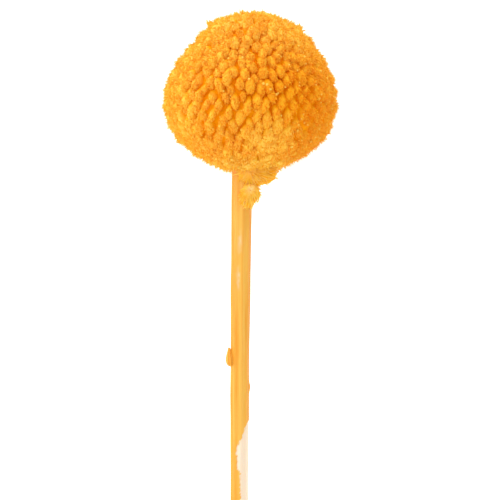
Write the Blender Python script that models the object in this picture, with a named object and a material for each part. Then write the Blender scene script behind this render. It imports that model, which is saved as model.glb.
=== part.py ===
"""A dried billy button, cut and laid down: a globe of packed flower tufts on a thin straight stem.

Every piece is modelled upright in the flower's own frame: x to the side, y along the stem towards
the crown and z out of the front, with the middle of the head at the origin. One empty then lays
the flower on the surface, where it rests on the side of its head and on the cut end of its stem.
"""

import math

import bmesh
import bpy
import numpy as np
from mathutils import Matrix, Vector

# Head: a ball of tufts, flatter underneath, with two shallow dents in its outline
HEAD_RADIUS = 0.0139
UNDERSIDE_FLATNESS = 0.120
UNDERSIDE_FROM = 0.30
UNDERSIDE_TO = 0.95
HEAD_DENTS = (
    (Vector((-0.848, 0.530, 0.0)), 0.00110, math.radians(17)),
    (Vector((0.866, 0.500, 0.0)), 0.00060, math.radians(17)),
)

# Tufts: the small flower clusters that cover the head
TUFT_COUNT = 640
TUFT_LENGTH = 0.0029
TUFT_LENGTH_SPREAD = 0.00022
TUFT_PLACE_SPREAD = 0.012
TUFT_TOP_SHARE = 0.80
TUFT_TOP_SHARE_RISE = 0.04
TUFT_DOME = 0.00042
CROWN_CROWDING = 0.35
FAN_RISE = 0.36
GOLDEN_ANGLE = math.pi * (3 - math.sqrt(5))
TUFT_SEED = 7

# Stem: a tapering tube, a little to the left of the head's middle and slightly bowed
STEM_REACH = 0.1019
STEM_TOP = 0.0069
STEM_RADIUS_AT_NECK = 0.00162
STEM_RADIUS_AT_CUT = 0.00138
STEM_SIDE = -0.00128
STEM_BOW = -0.00040
STEM_STATIONS = 26
STEM_RIBS = 9
STEM_RIB_SHARE = 0.035
STEM_SIDES = 36
CUT_SLANT = math.radians(24)
NECK_DEPTH = 0.0119
BARE_NECK_RADIUS = 0.0021

# Leaf scale and scar: distance below the head's middle, turn from the right side, height, stand-off
LEAF_SCALE = (0.0415, math.radians(172), 0.0026, 0.00085)
LEAF_SCAR = (0.0460, math.radians(-12), 0.0012, 0.00036)
SCALE_SIDES = 8
SCALE_RINGS = 6
SCALE_POINTEDNESS = 0.55
SCALE_BREADTH = 1.5
SCALE_LEAN = 0.10

# Neck tufts: name, root, direction of the middle floret, length, widest angle from it, florets
NECK_TUFTS = (
    (
        "neck_tuft_upper",
        Vector((0.0007, -0.0119, 0.0004)),
        Vector((1.0, -0.24, 0.34)),
        0.0037,
        math.radians(46),
        24,
    ),
    (
        "neck_tuft_lower",
        Vector((-0.0007, -0.0158, 0.0007)),
        Vector((0.62, -0.32, 0.66)),
        0.0024,
        math.radians(64),
        16,
    ),
)
EDGE_FLORET_SHORTNESS = 0.42
HEART_SHARE = 0.35
HEART_PLACE = 0.44
FLORET_ROOT_RADIUS = 0.00028
FLORET_TIP_RADIUS = 0.00046
FLORET_DOME = 0.00025
FLORET_SIDES = 5

# Fits: the clearance between pieces, and how deep the resting places are flattened
SEAT_GAP = 0.00030
PRESSED_DEPTH = 0.00040
STEM_PRESSED_DEPTH = 0.00010

# Meshes: how near points are welded, how sharp an edge stays, how finely the balls are cut
WELD_DISTANCE = 0.000001
SHARP_ANGLE = math.radians(35)
HEART_DETAIL = 2
CLEARANCE_DETAIL = 4

# Finishes: the dyed florets and the paler, smoother stem
ORANGE_FLORETS = (0.93, 0.33, 0.02, 1.0)
ORANGE_STEM = (0.96, 0.50, 0.09, 1.0)
FLORET_ROUGHNESS = 0.75
STEM_ROUGHNESS = 0.6


def clear_scene():
    """Empties the scene of whatever it starts with."""
    for obj in list(bpy.data.objects):
        bpy.data.objects.remove(obj)


def new_collection(name):
    """A collection under the scene's own."""
    collection = bpy.data.collections.new(name)
    bpy.context.scene.collection.children.link(collection)
    return collection


def new_material(name, colour, roughness):
    """A plain material with one colour and roughness."""
    material = bpy.data.materials.new(name)
    material.use_nodes = True
    shader = material.node_tree.nodes["Principled BSDF"]
    shader.inputs["Base Color"].default_value = colour
    shader.inputs["Roughness"].default_value = roughness
    shader.inputs["Metallic"].default_value = 0.0
    material.diffuse_color = colour
    return material


def object_from(bm, name, collection):
    """An object made of a bmesh, in the given collection."""
    mesh = bpy.data.meshes.new(name)
    bm.to_mesh(mesh)
    bm.free()
    obj = bpy.data.objects.new(name, mesh)
    collection.objects.link(obj)
    return obj


def boolean(obj, operation, other):
    """Joins obj with an object or a collection, or cuts it, and applies the result."""
    modifier = obj.modifiers.new(operation.title(), "BOOLEAN")
    modifier.operation = operation
    modifier.solver = "EXACT"
    if isinstance(other, bpy.types.Collection):
        modifier.operand_type = "COLLECTION"
        modifier.collection = other
    else:
        modifier.object = other
    graph = bpy.context.evaluated_depsgraph_get()
    made = bpy.data.meshes.new_from_object(obj.evaluated_get(graph))
    obj.modifiers.remove(modifier)
    obj.data = made


def laying_matrix():
    """The move that lays the flower down: tipped until the stem's cut end meets the surface."""
    height = HEAD_RADIUS - PRESSED_DEPTH
    below = STEM_RADIUS_AT_CUT - STEM_PRESSED_DEPTH
    tip = math.asin((height - below) / STEM_REACH)
    middle = (STEM_REACH * math.cos(tip) - HEAD_RADIUS) / 2
    return Matrix.Translation((0, middle, height)) @ Matrix.Rotation(tip, 4, "X")


def tuft_directions():
    """Where the tufts stand, as unit vectors: a golden spiral, crowded towards the crown."""
    order = np.arange(TUFT_COUNT)
    share = (order + 0.5) / TUFT_COUNT
    crowding = CROWN_CROWDING
    root = np.sqrt(1 - 2 * crowding * (1 - crowding / 2 - 2 * share))
    height = (root - 1) / crowding
    ring = np.sqrt(1 - height**2)
    turn = order * GOLDEN_ANGLE
    spiral = np.column_stack((ring * np.cos(turn), height, ring * np.sin(turn)))
    random = np.random.default_rng(TUFT_SEED)
    spiral += random.normal(0, TUFT_PLACE_SPREAD, spiral.shape)
    return spiral / np.linalg.norm(spiral, axis=1, keepdims=True)


def underside_share(direction):
    """0 down to where the underside begins, then a smooth step to 1."""
    below = (-direction.y - UNDERSIDE_FROM) / (UNDERSIDE_TO - UNDERSIDE_FROM)
    below = min(max(below, 0.0), 1.0)
    return below * below * (3 - 2 * below)


def head_radius(direction):
    """The head's radius at the tips of its tufts, in one direction from its middle."""
    radius = HEAD_RADIUS * (1 - UNDERSIDE_FLATNESS * underside_share(direction))
    for dent, depth, width in HEAD_DENTS:
        radius -= depth * math.exp(-((direction.angle(dent) / width) ** 2))
    return radius


def round_order(point):
    """The faces that meet at a vertex of the hull, in order round it."""
    outward = point.co.normalized()
    side = outward.orthogonal().normalized()
    around = outward.cross(side)
    turns = {}
    for face in point.link_faces:
        spoke = face.calc_center_median() - point.co
        turns[face] = math.atan2(spoke.dot(around), spoke.dot(side))
    return sorted(turns, key=turns.get)


def tuft_cells(directions):
    """A closed ball on the tufts' roots with one cell for each tuft, in the tufts' order.

    The hull of the directions has a triangle between every three neighbouring tufts. The middles
    of the triangles round one tuft are the corners of its cell.
    """
    hull = bmesh.new()
    points = [hull.verts.new(direction) for direction in directions]
    bmesh.ops.convex_hull(hull, input=points)
    hull.faces.index_update()
    ball = bmesh.new()
    corners = []
    for face in hull.faces:
        outward = face.calc_center_median().normalized()
        corners.append(ball.verts.new(outward * (head_radius(outward) - TUFT_LENGTH)))
    cells = [ball.faces.new([corners[face.index] for face in round_order(point)]) for point in points]
    hull.free()
    return ball, cells


def is_bare_neck(direction):
    """True where the stem comes out of the head, which carries no tuft."""
    root = direction * head_radius(direction)
    aside = math.hypot(root.x - STEM_SIDE, root.z)
    return direction.y < 0 and aside < BARE_NECK_RADIUS


def rest_flat(bm, laying):
    """Cuts off what would reach below the surface, and closes the cuts with flat faces."""
    upright = laying.inverted()
    surface = upright.translation
    downward = upright.to_3x3() @ Vector((0, 0, -1))
    everything = [*bm.verts, *bm.edges, *bm.faces]
    bmesh.ops.bisect_plane(bm, geom=everything, plane_co=surface, plane_no=downward, clear_outer=True)
    bmesh.ops.holes_fill(bm, edges=[edge for edge in bm.edges if edge.is_boundary])


def fanned_out(root, above):
    """The tip over a point on the ball, standing by a height above the head's radius.

    The line from the fan's source through the point gives the tip's direction.
    """
    lean = (root - Vector((0, FAN_RISE * HEAD_RADIUS, 0))).normalized()
    outward = root.normalized()
    tip = root + lean * (head_radius(outward) - root.length) / lean.dot(outward)
    direction = tip.normalized()
    return direction * (head_radius(direction) + above)


def flower_head(collection, laying, sleeve, material):
    """The globe: each cell of the ball is raised into a domed tuft that leans with the fan.

    The stem's sleeve cuts the socket that the stem stands in.
    """
    directions = [Vector(direction) for direction in tuft_directions()]
    ball, cells = tuft_cells(directions)
    random = np.random.default_rng(TUFT_SEED + 1)
    lengthening = random.normal(0, TUFT_LENGTH_SPREAD, TUFT_COUNT)
    raised = [
        (cell, direction, extra)
        for cell, direction, extra in zip(cells, directions, lengthening)
        if not is_bare_neck(direction)
    ]
    bmesh.ops.inset_individual(ball, faces=[cell for cell, _, _ in raised])
    for cell, direction, extra in raised:
        above = extra - TUFT_DOME
        top = fanned_out(cell.calc_center_median(), above)
        share = TUFT_TOP_SHARE + TUFT_TOP_SHARE_RISE * direction.y
        for corner in cell.verts:
            corner.co = top.lerp(fanned_out(corner.co, above), share)
    bmesh.ops.poke(ball, faces=[cell for cell, _, _ in raised], offset=TUFT_DOME)
    rest_flat(ball, laying)
    head = object_from(ball, "flower_head", collection)
    boolean(head, "DIFFERENCE", sleeve)
    finish(head, material)
    return head


def stem_point(distance):
    """The stem's middle line at a distance below the head's middle."""
    along = (distance - NECK_DEPTH) / (STEM_REACH - NECK_DEPTH)
    bow = STEM_BOW * math.sin(math.pi * max(along, 0.0))
    return Vector((STEM_SIDE + bow, -distance, 0))


def stem_radius(distance):
    """The stem's radius at a distance below the head's middle: widest at the neck."""
    along = (distance - NECK_DEPTH) / (STEM_REACH - NECK_DEPTH)
    spare = STEM_RADIUS_AT_NECK - STEM_RADIUS_AT_CUT
    return STEM_RADIUS_AT_CUT + spare * (1 - max(along, 0.0)) ** 2


def curve_object(name, points, collection):
    """A curve with straight stretches through points given as (place, thickness)."""
    data = bpy.data.curves.new(name, "CURVE")
    data.dimensions = "3D"
    spline = data.splines.new("POLY")
    spline.points.add(len(points) - 1)
    for point, (place, thickness) in zip(spline.points, points):
        point.co = (*place, 1.0)
        point.radius = thickness
    curve = bpy.data.objects.new(name, data)
    collection.objects.link(curve)
    return curve


def section_outline(rib_share):
    """The outline of a tube one unit in radius, with shallow ribs round it."""
    outline = []
    for order in range(STEM_SIDES):
        turn = 2 * math.pi * order / STEM_SIDES
        radius = 1 + rib_share * math.cos(STEM_RIBS * turn)
        outline.append((Vector((radius * math.cos(turn), radius * math.sin(turn), 0)), 1.0))
    return outline


def stem_tube(name, first, wider, rib_share, collection):
    """A closed tube along the stem, from a distance below the head's middle to the cut."""
    section = curve_object("section", section_outline(rib_share), collection)
    section.data.splines[0].use_cyclic_u = True
    distances = np.linspace(first, STEM_REACH, STEM_STATIONS)
    line = [(stem_point(distance), stem_radius(distance) + wider) for distance in distances]
    curve = curve_object(name, line, collection)
    curve.data.bevel_mode = "OBJECT"
    curve.data.bevel_object = section
    curve.data.use_fill_caps = True
    graph = bpy.context.evaluated_depsgraph_get()
    bm = bmesh.new()
    bm.from_mesh(bpy.data.meshes.new_from_object(curve.evaluated_get(graph)))
    bpy.data.objects.remove(curve)
    bpy.data.objects.remove(section)
    bmesh.ops.remove_doubles(bm, verts=bm.verts, dist=WELD_DISTANCE)
    bmesh.ops.recalc_face_normals(bm, faces=bm.faces)
    return bm


def scale_on_stem(name, distance, turn, height, stand, collection):
    """A pointed scale whose back lies in the stem and whose tip stands a little off it."""
    outward = Vector((math.cos(turn), 0, math.sin(turn)))
    bm = bmesh.new()
    bmesh.ops.create_uvsphere(bm, u_segments=SCALE_SIDES, v_segments=SCALE_RINGS, radius=1)
    for vertex in bm.verts:
        up = (vertex.co.z + 1) / 2
        narrow = 1 - SCALE_POINTEDNESS * up
        across = vertex.co.x * stand * SCALE_BREADTH * narrow
        off = vertex.co.y * stand * narrow + SCALE_LEAN * height * up
        vertex.co = Vector((across, height * (up - 0.5), off))
    side = Vector((0, 1, 0)).cross(outward)
    facing = Matrix((side, Vector((0, 1, 0)), outward)).transposed().to_4x4()
    place = stem_point(distance) + outward * stem_radius(distance)
    bm.transform(Matrix.Translation(place) @ facing)
    bmesh.ops.recalc_face_normals(bm, faces=bm.faces)
    return object_from(bm, name, collection)


def stem(collection, laying, material):
    """The stem, snipped at a slant, with the scar of a lost leaf grown onto it."""
    bm = stem_tube("stem", STEM_TOP, 0.0, STEM_RIB_SHARE, collection)
    middle = stem_point(STEM_REACH) + Vector((0, math.tan(CUT_SLANT) * STEM_RADIUS_AT_CUT, 0))
    slant = Vector((math.sin(CUT_SLANT), -math.cos(CUT_SLANT), 0))
    everything = [*bm.verts, *bm.edges, *bm.faces]
    bmesh.ops.bisect_plane(bm, geom=everything, plane_co=middle, plane_no=slant, clear_outer=True)
    bmesh.ops.holes_fill(bm, edges=[edge for edge in bm.edges if edge.is_boundary])
    rest_flat(bm, laying)
    obj = object_from(bm, "stem", collection)
    scar = scale_on_stem("leaf_scar", *LEAF_SCAR, collection)
    boolean(obj, "UNION", scar)
    bpy.data.objects.remove(scar)
    finish(obj, material)
    return obj


def leaf_scale(collection, sleeve, material):
    """The dried stub of a small leaf, hugging the stem."""
    obj = scale_on_stem("leaf_scale", *LEAF_SCALE, collection)
    boolean(obj, "DIFFERENCE", sleeve)
    finish(obj, material)
    return obj


def floret(root, direction, length, collection):
    """One floret of a neck tuft: a slim club with a domed tip."""
    bm = bmesh.new()
    bmesh.ops.create_cone(
        bm,
        cap_ends=True,
        segments=FLORET_SIDES,
        radius1=FLORET_ROOT_RADIUS,
        radius2=FLORET_TIP_RADIUS,
        depth=length,
    )
    tip = max(bm.faces, key=lambda face: face.calc_center_median().z)
    bmesh.ops.poke(bm, faces=[tip], offset=FLORET_DOME)
    turned = direction.to_track_quat("Z", "Y").to_matrix().to_4x4()
    bm.transform(Matrix.Translation(root + direction * length / 2) @ turned)
    return object_from(bm, "floret", collection)


def neck_tuft(name, root, middle, length, widest, count, collection, cutters, material):
    """A stray tuft: florets fanned from one root and joined to its heart, seated on the stem."""
    turned = middle.to_track_quat("Z", "Y").to_matrix()
    heart = bmesh.new()
    bmesh.ops.create_icosphere(heart, subdivisions=HEART_DETAIL, radius=length * HEART_SHARE)
    place = root + middle.normalized() * length * HEART_PLACE
    bmesh.ops.translate(heart, verts=heart.verts, vec=place)
    tuft = object_from(heart, name, collection)
    florets = new_collection("florets")
    for order in range(count):
        reach = math.sqrt((order + 0.5) / count)
        turn = order * GOLDEN_ANGLE
        lean = widest * reach
        aside = math.sin(lean)
        spoke = Vector((aside * math.cos(turn), aside * math.sin(turn), math.cos(lean)))
        direction = turned @ spoke
        shortened = length * (1 - EDGE_FLORET_SHORTNESS * reach**2)
        tip = root + direction * shortened
        if tip.length > head_radius(tip.normalized()) + FLORET_TIP_RADIUS:
            floret(root, direction, shortened, florets)
    boolean(tuft, "UNION", florets)
    for obj in list(florets.objects):
        bpy.data.objects.remove(obj)
    bpy.data.collections.remove(florets)
    for cutter in cutters:
        boolean(tuft, "DIFFERENCE", cutter)
    finish(tuft, material)
    return tuft


def finish(obj, material):
    """Gives a finished piece its material, and smooth shading between its sharp edges."""
    obj.data.materials.clear()
    obj.data.materials.append(material)
    obj.data.shade_smooth()
    obj.data.set_sharp_from_angle(angle=SHARP_ANGLE)


def cutter_object(bm, name, collection):
    """A piece that only cuts others, shown as wire and left out of the render."""
    cutter = object_from(bm, name, collection)
    cutter.hide_render = True
    cutter.display_type = "WIRE"
    return cutter


def head_clearance(collection):
    """A ball as large as the head and the clearance round it, which trims the neck tufts."""
    bm = bmesh.new()
    bmesh.ops.create_icosphere(bm, subdivisions=CLEARANCE_DETAIL, radius=1)
    for vertex in bm.verts:
        outward = vertex.co.normalized()
        vertex.co = outward * (head_radius(outward) + TUFT_LENGTH_SPREAD + SEAT_GAP)
    return cutter_object(bm, "head_clearance", collection)


def main():
    """Builds the flower and lays it down."""
    clear_scene()
    flower = new_collection("billy_button")
    cutters = new_collection("cutters")
    petals = new_material("orange_florets", ORANGE_FLORETS, FLORET_ROUGHNESS)
    bark = new_material("orange_stem", ORANGE_STEM, STEM_ROUGHNESS)
    laying = laying_matrix()

    widened = stem_tube("sleeve", STEM_TOP - SEAT_GAP, SEAT_GAP, 0.0, cutters)
    sleeve = cutter_object(widened, "sleeve", cutters)
    clearance = head_clearance(cutters)

    pieces = [
        flower_head(flower, laying, sleeve, petals),
        stem(flower, laying, bark),
        leaf_scale(flower, sleeve, bark),
    ]
    for tuft in NECK_TUFTS:
        pieces.append(neck_tuft(*tuft, flower, (sleeve, clearance), petals))

    holder = bpy.data.objects.new("laid_down", None)
    flower.objects.link(holder)
    holder.matrix_world = laying
    for piece in [*pieces, sleeve, clearance]:
        piece.parent = holder


main()
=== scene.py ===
"""The looks of a dried billy button that was cut and laid down on a pale floor.

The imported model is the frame. Finer pieces of the same form replace its nodes: the head becomes a
ball thick with florets and seed fluff, the stem gets its ribs, streaks and bare strip. Lengths are
in metres. The flower's own frame has x to the side, y along the stem towards the crown and z out
of the front, with its origin in the middle of the head. Laying turns it onto the floor.
"""

import logging
import math
from dataclasses import dataclass
from enum import Enum

import bpy
import numpy as np
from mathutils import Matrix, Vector


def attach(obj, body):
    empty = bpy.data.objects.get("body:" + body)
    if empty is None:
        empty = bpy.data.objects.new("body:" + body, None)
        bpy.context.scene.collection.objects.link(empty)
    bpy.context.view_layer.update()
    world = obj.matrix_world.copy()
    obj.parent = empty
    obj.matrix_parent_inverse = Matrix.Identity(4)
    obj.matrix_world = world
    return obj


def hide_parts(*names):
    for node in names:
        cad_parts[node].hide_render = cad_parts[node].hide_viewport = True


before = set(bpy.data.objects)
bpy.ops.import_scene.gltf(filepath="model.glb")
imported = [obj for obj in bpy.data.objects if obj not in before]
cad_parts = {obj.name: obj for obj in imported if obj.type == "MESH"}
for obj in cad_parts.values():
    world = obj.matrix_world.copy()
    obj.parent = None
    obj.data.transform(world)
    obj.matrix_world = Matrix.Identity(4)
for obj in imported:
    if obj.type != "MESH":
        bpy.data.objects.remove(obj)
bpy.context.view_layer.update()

Array = np.ndarray
Colour = tuple[float, float, float, float]
Span = tuple[float, float]
Place = tuple[float, float, float]
Socket = bpy.types.NodeSocket

LOG = logging.getLogger("billy_button")
ROOT_BODY = "root"

# The head's radius, and how far the stem's end is from the head's middle
HEAD_RADIUS = 0.0139
STEM_REACH = 0.1019

FULL_TURN = 2 * math.pi
GOLDEN_ANGLE = math.pi * (3 - math.sqrt(5))
SIDE = np.array((1.0, 0.0, 0.0))
CROWN = np.array((0.0, 1.0, 0.0))
FRONT = np.array((0.0, 0.0, 1.0))

# How cross products are kept steady where two directions nearly agree
POLE_NUDGE = 0.02
NEARLY_FRONT = 0.9

WHITE = (1.0, 1.0, 1.0, 1.0)


class Slot(Enum):
    """The record's material slots."""

    FLORETS = "florets"
    STEM = "stem"


class Quality(Enum):
    """The numbers that a mesh keeps for each of its points, which the finishes read."""

    REACH = "reach"
    TONE = "tone"
    PALE = "pale"
    BARE = "bare"
    PITH = "pith"


class Operation(Enum):
    """What a material does with two numbers."""

    ADD = "ADD"
    MULTIPLY = "MULTIPLY"


def unit(vectors: Array) -> Array:
    """Each vector divided by its length."""
    return vectors / np.linalg.norm(vectors, axis=-1, keepdims=True)


def square_to(axes: Array) -> tuple[Array, Array]:
    """Two directions square to each axis: its cross product with a guide, and theirs in turn.

    The guide is the front, and the side for an axis that nearly points to the front.

    Args:
        axes: Unit vectors, one to a row.

    Returns:
        The first and the second direction for each axis.
    """
    guide = np.where(np.abs(axes[:, 2:3]) < NEARLY_FRONT, FRONT, SIDE)
    first = unit(np.cross(guide, axes))
    return first, np.cross(axes, first)


def round_and_up(directions: Array) -> tuple[Array, Array]:
    """At places on the head, the way round it and the way up it, towards the crown.

    The way round is the cross product with the crown. A nudge along the side axis settles it at
    the poles.

    Args:
        directions: Unit vectors out of the head.

    Returns:
        The way round and the way up for each direction.
    """
    sideways = unit(np.cross(directions, CROWN) + SIDE * POLE_NUDGE)
    return sideways, np.cross(sideways, directions)


def even_turns(sides: int) -> Array:
    """Even steps once round a circle."""
    return np.arange(sides) * FULL_TURN / sides


def ball_angles(rings: int, sides: int) -> tuple[Array, Array]:
    """The angles of a ball's grid without its two poles.

    Args:
        rings: Rings from the first pole to the last.
        sides: Points in a ring.

    Returns:
        The rise from the first pole and the turn round the axis, by ring and side.
    """
    rise = np.linspace(0, math.pi, rings + 2)[1:-1]
    return tuple(np.meshgrid(rise, even_turns(sides), indexing="ij"))


def smooth_step(low: float, high: float, value: Array) -> Array:
    """Rises from 0 at low to 1 at high along 3t squared minus 2t cubed."""
    t = np.clip((value - low) / (high - low), 0, 1)
    return t * t * (3 - 2 * t)


def ripple(places: Array, waves: int, longest: float, seed: int) -> Array:
    """A smooth random field, mostly from -1 to 1: a sum of sine waves in random directions.

    Args:
        places: Points, one to a row.
        waves: How many waves are summed.
        longest: The longest wave's length. The shortest is a third of it.
        seed: Draws the directions, lengths and starts of the waves.

    Returns:
        One number for each point.
    """
    random = np.random.default_rng(seed)
    directions = unit(random.normal(size=(waves, 3)))
    lengths = longest * random.uniform(1 / 3, 1, waves)
    starts = random.uniform(0, FULL_TURN, waves)
    phases = places @ (directions * (FULL_TURN / lengths)[:, None]).T + starts
    return np.sin(phases).sum(axis=1) / math.sqrt(waves * 2)


def tube_triangles(rings: int, sides: int) -> Array:
    """The triangles of a closed tube: bands between rings, and a fan at each end's pole.

    Point number ring * sides + side is on the tube. The first pole comes after all of those, and
    the last pole after it. Faces point outwards where sides turn right-handed along the tube.

    Args:
        rings: Number of rings.
        sides: Number of points in a ring.

    Returns:
        Rows of three point numbers.
    """
    ring, side = np.meshgrid(np.arange(rings - 1), np.arange(sides), indexing="ij")
    here = (ring * sides + side).ravel()
    beside = (ring * sides + (side + 1) % sides).ravel()
    first_pole = rings * sides
    edge = np.arange(sides)
    after = (edge + 1) % sides
    top = (rings - 1) * sides
    return np.concatenate(
        (
            np.column_stack((here, beside, beside + sides)),
            np.column_stack((here, beside + sides, here + sides)),
            np.column_stack((after, edge, np.full(sides, first_pole))),
            np.column_stack((top + edge, top + after, np.full(sides, first_pole + 1))),
        )
    )


@dataclass(frozen=True)
class Laying:
    """How the upright flower is laid on the floor: tipped, then lifted and moved along y."""

    head_height: float = 0.0135
    end_height: float = 0.00128
    reach: float = STEM_REACH
    head_radius: float = HEAD_RADIUS

    @property
    def tip(self) -> float:
        """The angle whose sine is the drop from the head's middle to the stem's end by its reach."""
        return math.asin((self.head_height - self.end_height) / self.reach)

    @property
    def middle(self) -> float:
        """Where the head's middle is along y, so that the flower lies evenly about the origin."""
        return (self.reach * math.cos(self.tip) - self.head_radius) / 2

    def turned(self, vectors: Array) -> Array:
        """Turns vectors about the side axis by the tip.

        Args:
            vectors: One to a row.

        Returns:
            The turned vectors.
        """
        cosine, sine = math.cos(self.tip), math.sin(self.tip)
        y, z = vectors[:, 1], vectors[:, 2]
        return np.column_stack((vectors[:, 0], y * cosine - z * sine, y * sine + z * cosine))

    def laid(self, points: Array) -> Array:
        """Moves points onto the floor, where whatever would sink in is pressed flat.

        Args:
            points: Points of the upright flower, one to a row.

        Returns:
            The same points of the flower that lies down.
        """
        placed = self.turned(points) + (0.0, self.middle, self.head_height)
        placed[:, 2] = np.maximum(placed[:, 2], 0.0)
        return placed


@dataclass
class Skin:
    """A mesh in the making: its points and triangles, and some qualities of each point.

    Smooth is True where a triangle's shading runs on into its neighbours.
    """

    points: Array
    triangles: Array
    qualities: dict[Quality, Array]
    smooth: bool | Array = True

    @classmethod
    def of_copies(
        cls,
        points: Array,
        triangles: Array,
        reach: Array | float,
        tone: Array | float,
        pale: Array | float,
        smooth: bool = True,
    ) -> "Skin":
        """Many copies of one shape as one skin.

        Reach, tone and pale are numbers by copy and point, or spread to that.

        Args:
            points: The points by copy and point.
            triangles: The triangles of one copy.
            reach: How far up the tuft the points are.
            tone: How light the points are, from -1 to 1.
            pale: How faded the points are.
            smooth: Whether the shading is smooth.

        Returns:
            The skin.
        """
        count, size = points.shape[:2]
        faces = triangles + (np.arange(count) * size)[:, None, None]
        given = {Quality.REACH: reach, Quality.TONE: tone, Quality.PALE: pale}
        spread = {name: np.broadcast_to(value, (count, size)).ravel() for name, value in given.items()}
        return cls(points.reshape(-1, 3), faces.reshape(-1, 3), spread, smooth)

    def piece(self, name: str, laying: Laying, material: bpy.types.Material) -> bpy.types.Object:
        """Makes the mesh object, laid on the floor, with its qualities as attributes.

        Args:
            name: The piece's name.
            laying: How the flower lies.
            material: The finish.

        Returns:
            The new object, at the origin.
        """
        mesh = bpy.data.meshes.new(name)
        count = len(self.triangles)
        mesh.vertices.add(len(self.points))
        mesh.vertices.foreach_set("co", laying.laid(self.points).astype(np.float32).ravel())
        mesh.loops.add(count * 3)
        mesh.loops.foreach_set("vertex_index", self.triangles.astype(np.int32).ravel())
        mesh.polygons.add(count)
        mesh.polygons.foreach_set("loop_start", np.arange(0, count * 3, 3, dtype=np.int32))
        mesh.polygons.foreach_set("loop_total", np.full(count, 3, dtype=np.int32))
        mesh.update(calc_edges=True)
        for quality, values in self.qualities.items():
            layer = mesh.attributes.new(quality.value, "FLOAT", "POINT")
            layer.data.foreach_set("value", values.astype(np.float32))
        mesh.polygons.foreach_set("use_smooth", np.ones(count, dtype=bool) & self.smooth)
        mesh.materials.append(material)
        made = bpy.data.objects.new(name, mesh)
        bpy.context.scene.collection.objects.link(made)
        return made


def joined(skins: list[Skin]) -> Skin:
    """Several skins with the same qualities as one, each keeping its own closed surface.

    Args:
        skins: The skins to put together.

    Returns:
        One skin.
    """
    offsets = np.cumsum([0] + [len(skin.points) for skin in skins[:-1]])
    names = skins[0].qualities
    return Skin(
        np.concatenate([skin.points for skin in skins]),
        np.concatenate([skin.triangles + offset for skin, offset in zip(skins, offsets)]),
        {name: np.concatenate([skin.qualities[name] for skin in skins]) for name in names},
        np.concatenate([np.ones(len(skin.triangles), dtype=bool) & skin.smooth for skin in skins]),
    )


@dataclass(frozen=True)
class Bell:
    """A bell curve over the head: the direction of its middle, its height there and its width."""

    direction: Place
    height: float
    width: float

    def over(self, directions: Array) -> Array:
        """The height times e to minus the square of the angle from the middle by the width."""
        cosine = np.clip(directions @ unit(np.array(self.direction)), -1, 1)
        return self.height * np.exp(-((np.arccos(cosine) / self.width) ** 2))


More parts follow.
